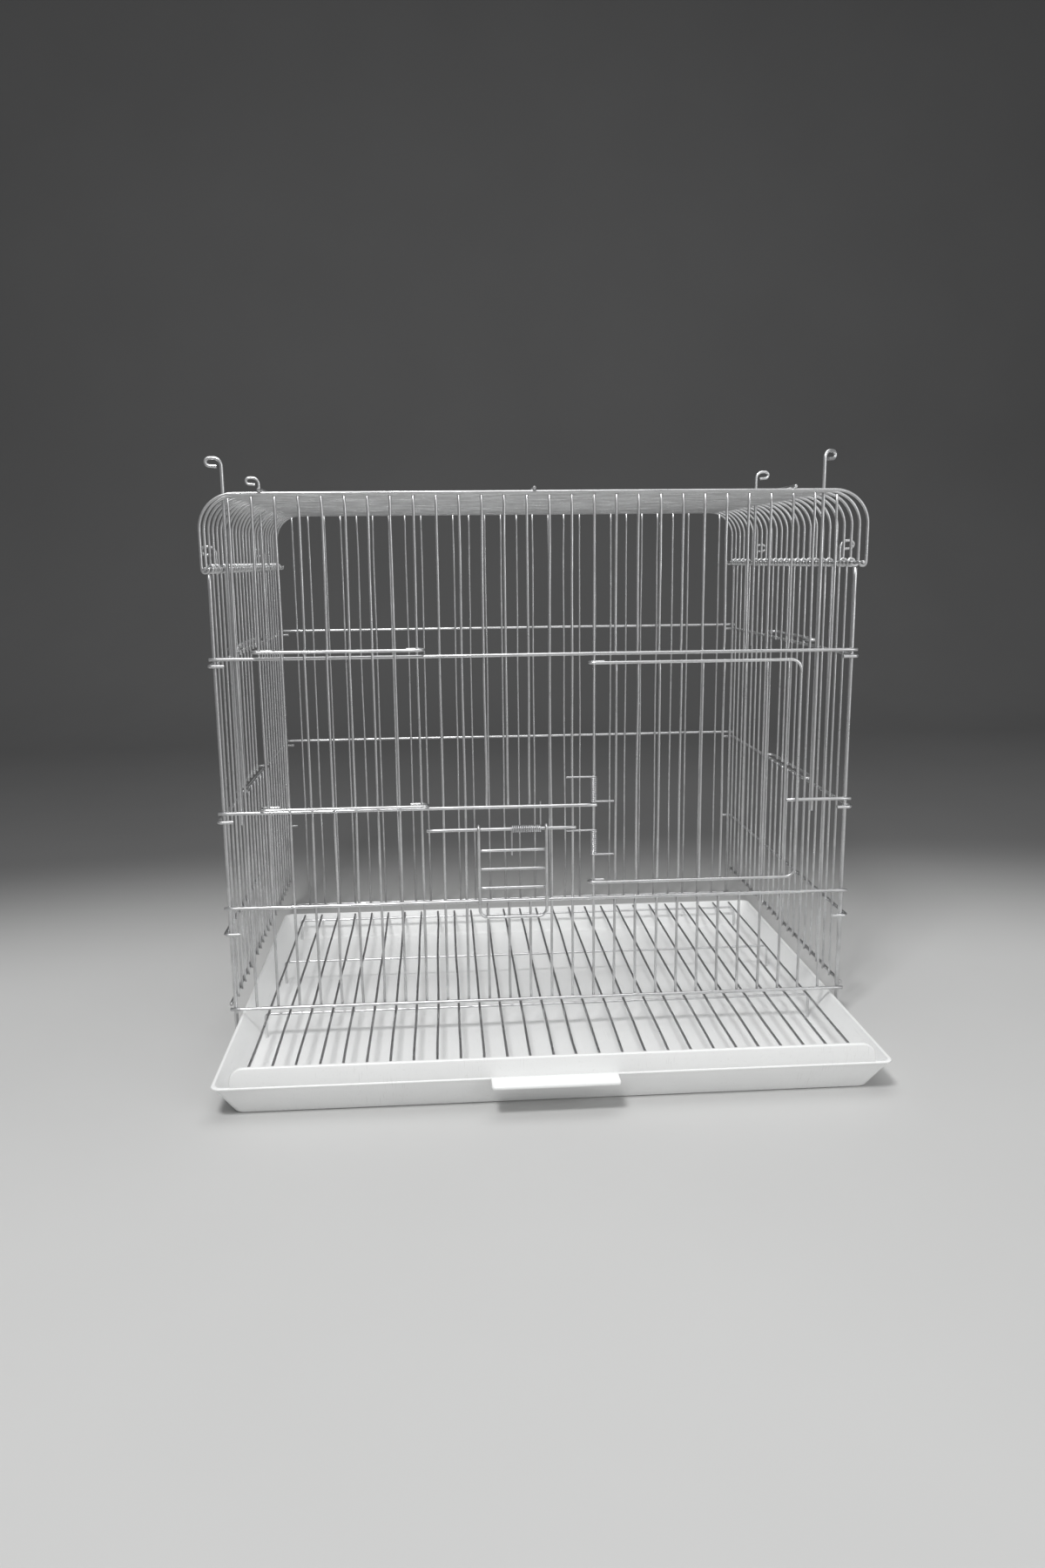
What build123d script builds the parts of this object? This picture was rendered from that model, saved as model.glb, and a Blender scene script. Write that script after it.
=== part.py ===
from build123d import *
import math
import os

os.makedirs("parts", exist_ok=True)

# Wire rabbit cage that folds flat: a hood, front and back grids, two swing-up side grids,
# five doors and flaps, four lock rods, and a slide-out tray with a floor grid.
# Millimetres. +X is the user's right, +Y goes from the front to the back, +Z is up.
# The origin is the centre of the cage's footprint on the ground.

# ---- driving sizes -------------------------------------------------------------------------
PITCH = 20.0              # spacing of the upright wires and of the roof wires
FRONT_GAPS = 29           # gaps between uprights across the front and the back
DEPTH_GAPS = 22           # gaps between roof wires from the front grid to the back grid
ROOF_Z = 506.0            # height of the roof wires
HINGE_Z = 443.0           # height of the hood's lower side wires
SHOULDER_R = 30.0         # bend of the roof wires over each shoulder
HOOD_FLARE = 2.0          # how far the hood's sides stand outside the front grid's posts

UPRIGHT_D = 2.5           # thin upright wires
ROOF_D = 2.8              # roof wires
BAR_D = 3.2               # cross bars, side wires and stringers
POST_D = 3.8              # edge posts of the front and back grids
DOOR_D = 2.8              # bent wires of the doors and the flap
SLAT_D = 2.4              # straight bars of the doors
RUNG_D = 2.7              # rungs of the flap
ROD_D = 3.2               # lock rods
GRID_D = 2.5              # floor grid
SPRING_D = 1.6            # torsion springs
GAP = 0.35                # clearance between wires that move past each other

BAR_OVERHANG = 2.5        # cross bars stand out past the edge posts
FRONT_BARS_Z = (364.0, 224.0, 134.0, 35.5)   # top to bottom
BACK_BARS_Z = (363.0, 222.0)
SIDE_BARS_Z = (358.0, 216.0, 109.0, 37.5)
POST_TOP_DROP = 4.8       # the posts end this far under the hood's side wires
STRINGER_XS = (-240.0, -5.0, 225.0)

# main door: swings on an upright of the front grid, between the first and third cross bars
DOOR_HINGE_INDEX = 17
DOOR_LATCH_INDEX = 27
DOOR_FREE_EDGE = 241.0    # x of the door's free side
DOOR_TOP_Z = 356.0
DOOR_BOTTOM_Z = 150.0
DOOR_CORNER_R = 9.0
DOOR_STUB = 10.0          # folded-back end of each hinge hook
DOOR_SPRINGS_Z = (227.0, 176.3)
DOOR_SPRING_TURNS = 13
DOOR_SPRING_ARM = 26.0

# sliding doors: one in the front grid and one in each side panel
FRONT_SLIDE_INDEX = 2     # left guide upright
SLIDE_GAPS = 7            # the door is this many pitches wide
SIDE_SLIDE_INDEX = 6      # front guide upright in each side panel
SLIDE_STUB = 10.0
SLIDE_OVER = 6.0          # the top wire lies this far over the bar above the opening

# ladder flap
FLAP_OPEN_INDEX = (11, 15)   # uprights that border its opening
FLAP_LEFT_X = -58.0
FLAP_WIDTH = 63.0
FLAP_HEADER_X = (-106.0, 33.0)
FLAP_HEADER_Z = 203.0
FLAP_BOTTOM_Z = 119.0
FLAP_CORNER_R = 8.0
RUNG_Z = (183.0, 165.0, 147.0)
FLAP_SPRING_X = -27.0
FLAP_SPRING_TURNS = 15
FLAP_SPRING_UP = 25.0
FLAP_SPRING_DOWN = 26.0

# lock rods and pull eyes
ROD_FRONT_TOPS_Z = (537.2, 541.5)   # left and right
ROD_FRONT_BOTTOM_Z = 212.0
ROD_FRONT_INSETS = (15.5, 31.4)   # left and right, in from the edge posts
ROD_FRONT_RIGHT_TURN = 30.0       # degrees that its eye is turned towards the back
ROD_SIDE_TOPS_Z = (537.5, 540.6)  # left and right
ROD_SIDE_BOTTOM_Z = 350.0
ROD_SIDE_INSETS = (12.5, 28.7)    # left and right, in from the hood's sides
ROD_SIDE_FROM_FRONT = 247.0
EYE_BEND_R = 6.9          # an eye: a bend, a short run, a loop and a tail back to the rod
EYE_RUN = 3.2
EYE_LOOP_R = 3.3
EYE_TAIL_GAP = 4.0        # from the rod's centre line to the tail's end
EYE_TAIL_SLOPE = 5.0      # degrees
PULL_EYE_INDEX = (2, 17)  # side uprights that end in a pull eye
PULL_EYE_OVER = 20.0      # height of the eye's top run over the hinge wire
PULL_EYE_BEND_R = 7.0
PULL_EYE_RUN = 2.4
PULL_EYE_LOOP_R = 3.6

# tray and floor grid
TRAY_OUT = 122.0          # how far the tray is drawn out at rest
TRAY_LENGTH = 472.0
TRAY_RIM_W = 570.0
TRAY_RIM_FLANGE = 1.0
TRAY_FLARE = 14.0         # the walls lean out by this much on every side
TRAY_H = 29.5
TRAY_WALL = 2.2
TRAY_RIM_R = 7.0          # corners of the walls at the rim and at the foot
TRAY_FOOT_R = 9.0
TRAY_BACK_CLEAR = 2.75    # left between the tray and the back grid when it is home
LIP_W = 538.0
LIP_H = 16.5
LIP_T = 4.0
LIP_CORNER_R = 12.0
LIP_INSET = 1.0           # from the rim's front edge
HANDLE_W = 106.0
HANDLE_REACH = 17.0
HANDLE_T = 3.5
HANDLE_X = -3.0
HANDLE_CORNER_R = 3.0
GRID_GAP_COUNT = 26
GRID_CROSS_COUNT = 4
GRID_FRONT_MARGIN = 14.0  # the long wires end this far inside the tray's rim
GRID_BACK_MARGIN = 6.0
GRID_FOOT_H = 22.5        # underside of the cross wires over the tray floor
GRID_FOOT_OUT = 3.5       # feet stand this far outside the outermost long wires
GRID_BEND_R = 3.5
GRID_FRONT_INSET = 6.0    # first and last cross wires, in from the long wires' ends
GRID_BACK_INSET = 12.0

# ---- derived places ------------------------------------------------------------------------
HALF_W = FRONT_GAPS * PITCH / 2
FRONT_Y = -DEPTH_GAPS * PITCH / 2
BACK_Y = -FRONT_Y
HOOD_X = HALF_W + HOOD_FLARE
SIDE_WIRE_X = HOOD_X - (ROOF_D + BAR_D) / 2
HINGE_R = (BAR_D + UPRIGHT_D) / 2 + GAP
PANEL_X = SIDE_WIRE_X + HINGE_R
BAR_STEP = (UPRIGHT_D + BAR_D) / 2
FRONT_BAR_Y = FRONT_Y - BAR_STEP
BACK_BAR_Y = BACK_Y + BAR_STEP
POST_Y = FRONT_BAR_Y + (BAR_D + POST_D) / 2
BACK_POST_Y = BACK_BAR_Y - (BAR_D + POST_D) / 2
DOOR_STEP = (BAR_D + DOOR_D) / 2 + GAP
SLAT_STEP = (BAR_D + SLAT_D) / 2 + GAP


def upright_x(index):
    """X of a front or back upright, counted from the left post."""
    return -HALF_W + PITCH * index


def wire(start, end, diameter):
    """A straight wire between two points."""
    start = Vector(*start)
    end = Vector(*end)
    along = end - start
    return Solid.make_cylinder(diameter / 2, along.length, Plane(origin=start, z_dir=along))


def bent(path, diameter):
    """A wire along a smooth path."""
    section = Plane(origin=path @ 0, z_dir=path % 0) * Circle(diameter / 2)
    return sweep(section, path=path).solid()


def moved(solid, x=0.0, y=0.0, z=0.0):
    return solid.moved(Location((x, y, z)))


def mirrored(solids):
    """The same pieces on the other side of the cage."""
    return [solid.mirror(Plane.YZ) for solid in solids]


def save(name, solids):
    group = Compound(children=[Solid(s.wrapped) for s in solids])
    group.label = name
    export_step(group, f"parts/{name}.step")


# ---- hood ----------------------------------------------------------------------------------
ROOF_YS = [FRONT_Y + PITCH * k for k in range(-1, DEPTH_GAPS + 2)]
CURL_R = (ROOF_D + BAR_D) / 2
CURL_SWEEP = 200.0
flat_x = HOOD_X - SHOULDER_R
drop_top = ROOF_Z - SHOULDER_R

roof_run = wire((-flat_x, 0, ROOF_Z), (flat_x, 0, ROOF_Z), ROOF_D)
save("roof_wires", [moved(roof_run, y=y) for y in ROOF_YS])

side_plane = Plane(origin=(0, 0, 0), x_dir=(1, 0, 0), z_dir=(0, -1, 0))


def in_section(arc_centre, radius, start, sweep_angle):
    """An arc in the cage's cross section, where the angles turn from +X towards +Z."""
    arc = CenterArc((arc_centre[0], arc_centre[1]), radius, start, sweep_angle)
    return side_plane.from_local_coords(arc)


bend = bent(in_section((flat_x, drop_top), SHOULDER_R, 0, 90), ROOF_D)
bends = [moved(bend, y=y) for y in ROOF_YS]
save("roof_shoulder_bends", bends + mirrored(bends))

drop = wire((HOOD_X, 0, HINGE_Z), (HOOD_X, 0, drop_top), ROOF_D)
drops = [moved(drop, y=y) for y in ROOF_YS]
save("roof_side_drops", drops + mirrored(drops))

curl = bent(in_section((SIDE_WIRE_X, HINGE_Z), CURL_R, 0, -CURL_SWEEP), ROOF_D)
curls = [moved(curl, y=y) for y in ROOF_YS]
save("roof_wire_curls", curls + mirrored(curls))

side_wire_ends = (ROOF_YS[0] - BAR_D, ROOF_YS[-1] + BAR_D)
side_wire = wire((SIDE_WIRE_X, side_wire_ends[0], HINGE_Z), (SIDE_WIRE_X, side_wire_ends[1], HINGE_Z), BAR_D)
save("hood_side_wires", [side_wire] + mirrored([side_wire]))

stringer_z = ROOF_Z + (ROOF_D + BAR_D) / 2
save("roof_stringers", [
    wire((x, side_wire_ends[0], stringer_z), (x, side_wire_ends[1], stringer_z), BAR_D)
    for x in STRINGER_XS
])

# ---- front grid ----------------------------------------------------------------------------
H1, H2, H3, H4 = FRONT_BARS_Z
upright_foot = H4 - BAR_D / 2
bar_half = HALF_W + POST_D / 2 + BAR_OVERHANG


def under_roof(index):
    """Height of the roof wires' underside over one upright."""
    past_flat = max(0.0, abs(upright_x(index)) + UPRIGHT_D / 2 - flat_x)
    return drop_top + math.sqrt((SHOULDER_R - ROOF_D / 2) ** 2 - past_flat ** 2)


def front_upright(index, low, high, y=FRONT_Y):
    x = upright_x(index)
    return wire((x, y, low), (x, y, high), UPRIGHT_D)


door_gap = range(DOOR_HINGE_INDEX + 1, DOOR_LATCH_INDEX)
flap_gap = range(FLAP_OPEN_INDEX[0] + 1, FLAP_OPEN_INDEX[1])
slide_gap = range(FRONT_SLIDE_INDEX + 1, FRONT_SLIDE_INDEX + SLIDE_GAPS)
front_uprights = []
for i in range(1, FRONT_GAPS):
    opening = None
    if i in door_gap:
        opening = (H3, H1)
    elif i in flap_gap:
        opening = (H3, H2)
    elif i in slide_gap:
        opening = (H2, H1)
    if opening is None:
        front_uprights.append(front_upright(i, upright_foot, under_roof(i)))
    else:
        front_uprights.append(front_upright(i, upright_foot, opening[0] + BAR_D / 2))
        front_uprights.append(front_upright(i, opening[1] - BAR_D / 2, under_roof(i)))
save("front_uprights", front_uprights)

post = wire((HALF_W, POST_Y, 0), (HALF_W, POST_Y, HINGE_Z - POST_TOP_DROP), POST_D)
save("front_posts", [post] + mirrored([post]))


def front_bar(z, low=-bar_half, high=bar_half):
    return wire((low, FRONT_BAR_Y, z), (high, FRONT_BAR_Y, z), BAR_D)


save("front_bar_top", [front_bar(H1)])
save("front_bar_upper", [front_bar(H2, high=upright_x(DOOR_HINGE_INDEX) + BAR_OVERHANG)])
save("front_bar_lower", [front_bar(H3)])
save("front_bar_bottom", [front_bar(H4)])
# the stop bar starts just beside the door's last slat, so the door can swing out past it
stop_bar_start = upright_x(DOOR_LATCH_INDEX - 1) + SLAT_D / 2 + 2 * GAP
save("door_stop_bar", [front_bar(H2, low=stop_bar_start)])
save("flap_header", [front_bar(FLAP_HEADER_Z, FLAP_HEADER_X[0], FLAP_HEADER_X[1])])

# ---- back grid -----------------------------------------------------------------------------
save("back_uprights", [
    front_upright(i, BAR_D / 2, under_roof(i), BACK_Y) for i in range(1, FRONT_GAPS)
])
back_post = wire((HALF_W, BACK_POST_Y, 0), (HALF_W, BACK_POST_Y, HINGE_Z - POST_TOP_DROP), POST_D)
save("back_posts", [back_post] + mirrored([back_post]))
back_bar = wire((-bar_half, BACK_BAR_Y, 0), (bar_half, BACK_BAR_Y, 0), BAR_D)
save("back_bars", [moved(back_bar, z=z) for z in BACK_BARS_Z])
save("back_foot_bar", [moved(back_bar, z=BAR_D / 2)])

# ---- side panels ---------------------------------------------------------------------------
S1, S2, S3, S4 = SIDE_BARS_Z
panel_ys = [FRONT_Y + PITCH * (k + 0.5) for k in range(DEPTH_GAPS)]
panel_foot = S4 - BAR_D / 2
panel_bar_x = PANEL_X + BAR_STEP
HINGE_EYE_SWEEP = 285.0
hinge_eye = bent(in_section((SIDE_WIRE_X, HINGE_Z), HINGE_R, 0, HINGE_EYE_SWEEP), UPRIGHT_D)


def eye_path(x, bottom, top, bend_r, run, loop_r):
    """An upright rod whose top bends outwards, to +X, into a flat eye with a tail."""
    far = x + bend_r + run
    slope = math.radians(EYE_TAIL_SLOPE)
    tail_x = far + loop_r * math.sin(slope)
    tail_z = top - loop_r * (1 + math.cos(slope))
    end_x = x + EYE_TAIL_GAP
    end_z = tail_z - (tail_x - end_x) * math.tan(slope)
    return Wire([
        Line((x, 0, bottom), (x, 0, top - bend_r)),
        in_section((x + bend_r, top - bend_r), bend_r, 180, -90),
        Line((x + bend_r, 0, top), (far, 0, top)),
        in_section((far, top - loop_r), loop_r, 90, EYE_TAIL_SLOPE - 180),
        Line((tail_x, 0, tail_z), (end_x, 0, end_z)),
    ])


pull_path = eye_path(
    PANEL_X, HINGE_Z, HINGE_Z + PULL_EYE_OVER, PULL_EYE_BEND_R, PULL_EYE_RUN, PULL_EYE_LOOP_R
)
pull_eye = bent(pull_path, UPRIGHT_D)
side_gap = range(SIDE_SLIDE_INDEX + 1, SIDE_SLIDE_INDEX + SLIDE_GAPS)


def panel_upright(y, low, high):
    return wire((PANEL_X, y, low), (PANEL_X, y, high), UPRIGHT_D)


panel_uprights = []
for k, y in enumerate(panel_ys):
    if k in side_gap:
        panel_uprights.append(panel_upright(y, panel_foot, S2 + BAR_D / 2))
        panel_uprights.append(panel_upright(y, S1 - BAR_D / 2, HINGE_Z))
    else:
        panel_uprights.append(panel_upright(y, panel_foot, HINGE_Z))
hinge_eyes = [moved(hinge_eye, y=y) for k, y in enumerate(panel_ys) if k not in PULL_EYE_INDEX]
pull_eyes = [moved(pull_eye, y=panel_ys[k]) for k in PULL_EYE_INDEX]

HOOK_R = 4.0
HOOK_TIP = 14.0
hook_y = POST_Y - (POST_D + BAR_D) / 2 - GAP
hook_path = FilletPolyline(
    (panel_bar_x - HOOK_TIP, hook_y, 0),
    (panel_bar_x, hook_y, 0),
    (panel_bar_x, -hook_y, 0),
    (panel_bar_x - HOOK_TIP, -hook_y, 0),
    radius=HOOK_R,
)
hooked_bar = bent(hook_path, BAR_D)
bottom_bar_end = panel_ys[-1] + PITCH / 4
plain_bar = wire((panel_bar_x, -bottom_bar_end, S4), (panel_bar_x, bottom_bar_end, S4), BAR_D)
hooked_bars = [moved(hooked_bar, z=z) for z in (S1, S2, S3)]

for side, flip in (("right", list), ("left", mirrored)):
    save(f"{side}_panel_uprights", flip(panel_uprights))
    save(f"{side}_panel_hinge_eyes", flip(hinge_eyes))
    save(f"{side}_panel_pull_eyes", flip(pull_eyes))
    save(f"{side}_panel_hooked_bars", flip(hooked_bars))
    save(f"{side}_panel_bottom_bar", flip([plain_bar]))

# ---- sliding doors -------------------------------------------------------------------------
slat_y = -(BAR_STEP + SLAT_STEP)            # from the uprights' plane
slide_wire_y = slat_y - (SLAT_D + DOOR_D) / 2
hook_back_y = (UPRIGHT_D + DOOR_D) / 2 + GAP
slide_hook_r = (hook_back_y - slide_wire_y) / 2


def sliding_door(over_bar_z, under_bar_z):
    """Door about its own left guide wire: two end wires hooked round the guides, and slats."""
    width = SLIDE_GAPS * PITCH
    middle = hook_back_y - slide_hook_r
    path = Wire([
        Line((SLIDE_STUB, hook_back_y, 0), (0, hook_back_y, 0)),
        CenterArc((0, middle, 0), slide_hook_r, 90, 180),
        Line((0, slide_wire_y, 0), (width, slide_wire_y, 0)),
        CenterArc((width, middle, 0), slide_hook_r, -90, 180),
        Line((width, hook_back_y, 0), (width - SLIDE_STUB, hook_back_y, 0)),
    ])
    end_wire = bent(path, DOOR_D)
    top = over_bar_z + SLIDE_OVER
    bottom = under_bar_z + (BAR_D + DOOR_D) / 2 + GAP
    slats = [
        wire((PITCH * k, slat_y, bottom - DOOR_D / 2), (PITCH * k, slat_y, top + DOOR_D / 2), SLAT_D)
        for k in range(1, SLIDE_GAPS)
    ]
    return [moved(end_wire, z=top)], [moved(end_wire, z=bottom)], slats


def place_door(pieces, location):
    return [piece.moved(location) for piece in pieces]


front_spot = Location((upright_x(FRONT_SLIDE_INDEX), FRONT_Y, 0))
for name, pieces in zip(("top_wire", "bottom_wire", "slats"), sliding_door(H1, H2)):
    save(f"front_slide_door_{name}", place_door(pieces, front_spot))

side_spot = Location((PANEL_X, panel_ys[SIDE_SLIDE_INDEX], 0), (0, 0, 90))
for name, pieces in zip(("top_wire", "bottom_wire", "slats"), sliding_door(S1, S2)):
    right = place_door(pieces, side_spot)
    save(f"right_slide_door_{name}", right)
    save(f"left_slide_door_{name}", mirrored(right))

# ---- main door -----------------------------------------------------------------------------
door_y = FRONT_BAR_Y - DOOR_STEP
hinge_x = upright_x(DOOR_HINGE_INDEX)
hook_r = (hook_back_y + (FRONT_Y - door_y)) / 2
hook_centre_y = FRONT_Y + hook_back_y - hook_r


def hinge_hook(z):
    """Half-round hook round the hinge wire at one height."""
    return CenterArc((hinge_x, hook_centre_y, z), hook_r, 90, 180)


outer = FilletPolyline(
    (hinge_x, door_y, DOOR_TOP_Z),
    (DOOR_FREE_EDGE, door_y, DOOR_TOP_Z),
    (DOOR_FREE_EDGE, door_y, DOOR_BOTTOM_Z),
    (hinge_x, door_y, DOOR_BOTTOM_Z),
    radius=DOOR_CORNER_R,
)
back_y = FRONT_Y + hook_back_y
frame_path = Wire([
    Line((hinge_x + DOOR_STUB, back_y, DOOR_TOP_Z), (hinge_x, back_y, DOOR_TOP_Z)),
    hinge_hook(DOOR_TOP_Z),
    *outer.edges(),
    hinge_hook(DOOR_BOTTOM_Z),
    Line((hinge_x, back_y, DOOR_BOTTOM_Z), (hinge_x + DOOR_STUB, back_y, DOOR_BOTTOM_Z)),
])
save("main_door_frame", [bent(frame_path, DOOR_D)])
door_slat_y = door_y + (DOOR_D + SLAT_D) / 2
save("main_door_slats", [
    wire((upright_x(i), door_slat_y, DOOR_BOTTOM_Z - DOOR_D / 2),
         (upright_x(i), door_slat_y, DOOR_TOP_Z + DOOR_D / 2), SLAT_D)
    for i in door_gap
])

# ---- torsion springs -----------------------------------------------------------------------
SPRING_BORE_CLEAR = 0.3
SPRING_PITCH = SPRING_D + 0.2


def coil_radius(core_d):
    return core_d / 2 + SPRING_BORE_CLEAR + SPRING_D / 2


def coil(core_d, turns, lefthand):
    """Close coil about +Z from z=0, starting and ending at (radius, 0)."""
    path = Helix(
        pitch=SPRING_PITCH,
        height=SPRING_PITCH * turns,
        radius=coil_radius(core_d),
        lefthand=lefthand,
    )
    return bent(path, SPRING_D)


door_coil = coil(UPRIGHT_D, DOOR_SPRING_TURNS, lefthand=True)
door_coil_h = SPRING_PITCH * DOOR_SPRING_TURNS
arm_y = FRONT_Y - coil_radius(UPRIGHT_D)
slat_side_x = upright_x(DOOR_HINGE_INDEX + 1) - SLAT_D / 2 - GAP
for name, z in zip(("upper", "lower"), DOOR_SPRINGS_Z):
    top_z = z + door_coil_h
    save(f"door_spring_{name}", [
        door_coil.moved(Location((hinge_x, FRONT_Y, z), (0, 0, -90))),
        wire((hinge_x, arm_y, top_z), (hinge_x - DOOR_SPRING_ARM, arm_y, top_z), SPRING_D),
        wire((hinge_x, arm_y, z), (slat_side_x, arm_y, z), SPRING_D),
    ])

flap_coil_w = SPRING_PITCH * FLAP_SPRING_TURNS
flap_arm_y = FRONT_BAR_Y + coil_radius(BAR_D)
header_plane = Plane(origin=(FLAP_SPRING_X, FRONT_BAR_Y, FLAP_HEADER_Z), x_dir=(0, 1, 0), z_dir=(1, 0, 0))
flap_coil = coil(BAR_D, FLAP_SPRING_TURNS, lefthand=False).moved(header_plane.location)
right_x = FLAP_SPRING_X + flap_coil_w
save("flap_spring", [
    flap_coil,
    wire((FLAP_SPRING_X, flap_arm_y, FLAP_HEADER_Z),
         (FLAP_SPRING_X, flap_arm_y, FLAP_HEADER_Z - FLAP_SPRING_DOWN), SPRING_D),
    wire((right_x, flap_arm_y, FLAP_HEADER_Z),
         (right_x, flap_arm_y, FLAP_HEADER_Z + FLAP_SPRING_UP), SPRING_D),
])

# ---- ladder flap ---------------------------------------------------------------------------
flap_y = FRONT_BAR_Y - DOOR_STEP
flap_right_x = FLAP_LEFT_X + FLAP_WIDTH
FLAP_EYE_SWEEP = 280.0


def flap_eye(x, start, sweep_angle):
    """Eye round the header, in the plane of one leg; angles turn from +Y towards +Z."""
    plane = Plane(origin=(x, FRONT_BAR_Y, FLAP_HEADER_Z), x_dir=(0, 1, 0), z_dir=(1, 0, 0))
    return plane.from_local_coords(CenterArc((0, 0), DOOR_STEP, start, sweep_angle))


flap_outline = FilletPolyline(
    (FLAP_LEFT_X, flap_y, FLAP_HEADER_Z),
    (FLAP_LEFT_X, flap_y, FLAP_BOTTOM_Z),
    (flap_right_x, flap_y, FLAP_BOTTOM_Z),
    (flap_right_x, flap_y, FLAP_HEADER_Z),
    radius=FLAP_CORNER_R,
)
flap_path = Wire([
    flap_eye(FLAP_LEFT_X, 180 - FLAP_EYE_SWEEP, FLAP_EYE_SWEEP),
    *flap_outline.edges(),
    flap_eye(flap_right_x, 180, -FLAP_EYE_SWEEP),
])
save("flap_frame", [bent(flap_path, DOOR_D)])
rung_y = flap_y + (DOOR_D + RUNG_D) / 2
save("flap_rungs", [
    wire((FLAP_LEFT_X - DOOR_D / 2, rung_y, z), (flap_right_x + DOOR_D / 2, rung_y, z), RUNG_D)
    for z in RUNG_Z
])

# ---- lock rods -----------------------------------------------------------------------------
rod_front_y = FRONT_Y + (ROOF_D + ROD_D) / 2 + GAP
rod_side_y = FRONT_Y + ROD_SIDE_FROM_FRONT


def lock_rod(x, y, bottom, top, turn=0.0):
    """Rod at the right-hand side; its eye points outwards, or is turned towards the back."""
    rod = bent(eye_path(0, bottom, top, EYE_BEND_R, EYE_RUN, EYE_LOOP_R), ROD_D)
    return rod.moved(Location((x, y, 0), (0, 0, turn)))


for row, y, bottom, tops, places, turns in (
    ("front", rod_front_y, ROD_FRONT_BOTTOM_Z, ROD_FRONT_TOPS_Z,
     [HALF_W - inset for inset in ROD_FRONT_INSETS], (0.0, ROD_FRONT_RIGHT_TURN)),
    ("side", rod_side_y, ROD_SIDE_BOTTOM_Z, ROD_SIDE_TOPS_Z,
     [HOOD_X - inset for inset in ROD_SIDE_INSETS], (0.0, 0.0)),
):
    save(f"lock_rod_{row}_left", mirrored([lock_rod(places[0], y, bottom, tops[0], turns[0])]))
    save(f"lock_rod_{row}_right", [lock_rod(places[1], y, bottom, tops[1], turns[1])])

# ---- tray ----------------------------------------------------------------------------------
tray_back_y = BACK_Y - UPRIGHT_D / 2 - TRAY_BACK_CLEAR - TRAY_OUT
tray_front_y = tray_back_y - TRAY_LENGTH
tray_mid_y = (tray_front_y + tray_back_y) / 2
wall_w = TRAY_RIM_W - 2 * TRAY_RIM_FLANGE
wall_l = TRAY_LENGTH - 2 * TRAY_RIM_FLANGE


def wall_outline(z, inset, corner):
    """The walls' outline at one height, drawn in from their outer face."""
    drawn_in = TRAY_FLARE * (1 - z / TRAY_H) + inset
    outline = RectangleRounded(wall_w - 2 * drawn_in, wall_l - 2 * drawn_in, corner)
    return Plane(origin=(0, tray_mid_y, z)) * outline


def tapered(low, high, inset):
    """Block with round corners that widens upwards as the walls lean."""
    outlines = [wall_outline(low, inset, TRAY_FOOT_R - inset), wall_outline(high, inset, TRAY_RIM_R - inset)]
    return loft(outlines, ruled=True)


hollow_top = TRAY_H + TRAY_WALL
shell = tapered(0, TRAY_H, 0)
rim_plane = Plane(origin=(0, tray_mid_y, TRAY_H - TRAY_WALL))
rim_r = TRAY_RIM_R + TRAY_RIM_FLANGE
shell += extrude(rim_plane * RectangleRounded(TRAY_RIM_W, TRAY_LENGTH, rim_r), TRAY_WALL)
shell -= tapered(TRAY_WALL, hollow_top, TRAY_WALL)

lip_plane = Plane(origin=(0, tray_front_y + LIP_INSET + LIP_T, TRAY_H), x_dir=(1, 0, 0), z_dir=(0, -1, 0))
lip_low = TRAY_WALL / 2
lip_shape = RectangleRounded(LIP_W, 2 * (LIP_H + lip_low), LIP_CORNER_R)
lip_shape = Pos(0, -lip_low) * lip_shape & Pos(0, (LIP_H - lip_low) / 2) * Rectangle(LIP_W, LIP_H + lip_low)
shell += extrude(lip_plane * lip_shape, LIP_T)

handle_l = HANDLE_REACH + TRAY_RIM_FLANGE
handle_plane = Plane(origin=(HANDLE_X, tray_front_y - HANDLE_REACH + handle_l / 2, TRAY_H - HANDLE_T))
handle = extrude(handle_plane * Rectangle(HANDLE_W, handle_l), HANDLE_T)
front_corners = handle.edges().filter_by(Axis.Z).group_by(Axis.Y)[0]
handle = fillet(front_corners, HANDLE_CORNER_R)
shell += handle
save("tray", shell.solids())

# ---- floor grid ----------------------------------------------------------------------------
grid_front_y = tray_front_y + GRID_FRONT_MARGIN
grid_back_y = tray_back_y - GRID_BACK_MARGIN
cross_z = TRAY_WALL + GRID_FOOT_H + GRID_D / 2
grid_half = GRID_GAP_COUNT * PITCH / 2
foot_x = grid_half + GRID_FOOT_OUT
save("floor_grid_wires", [
    wire((PITCH * k - grid_half, grid_front_y, cross_z + GRID_D),
         (PITCH * k - grid_half, grid_back_y, cross_z + GRID_D), GRID_D)
    for k in range(GRID_GAP_COUNT + 1)
])
cross_path = FilletPolyline(
    (-foot_x, 0, TRAY_WALL), (-foot_x, 0, cross_z), (foot_x, 0, cross_z), (foot_x, 0, TRAY_WALL),
    radius=GRID_BEND_R,
)
cross = bent(cross_path, GRID_D)
first_cross_y = grid_front_y + GRID_FRONT_INSET
cross_step = (grid_back_y - GRID_BACK_INSET - first_cross_y) / (GRID_CROSS_COUNT - 1)
save("floor_grid_cross_wires", [
    moved(cross, y=first_cross_y + cross_step * k) for k in range(GRID_CROSS_COUNT)
])
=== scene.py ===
import math

import bmesh
import bpy
from mathutils import Matrix, Vector


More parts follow.
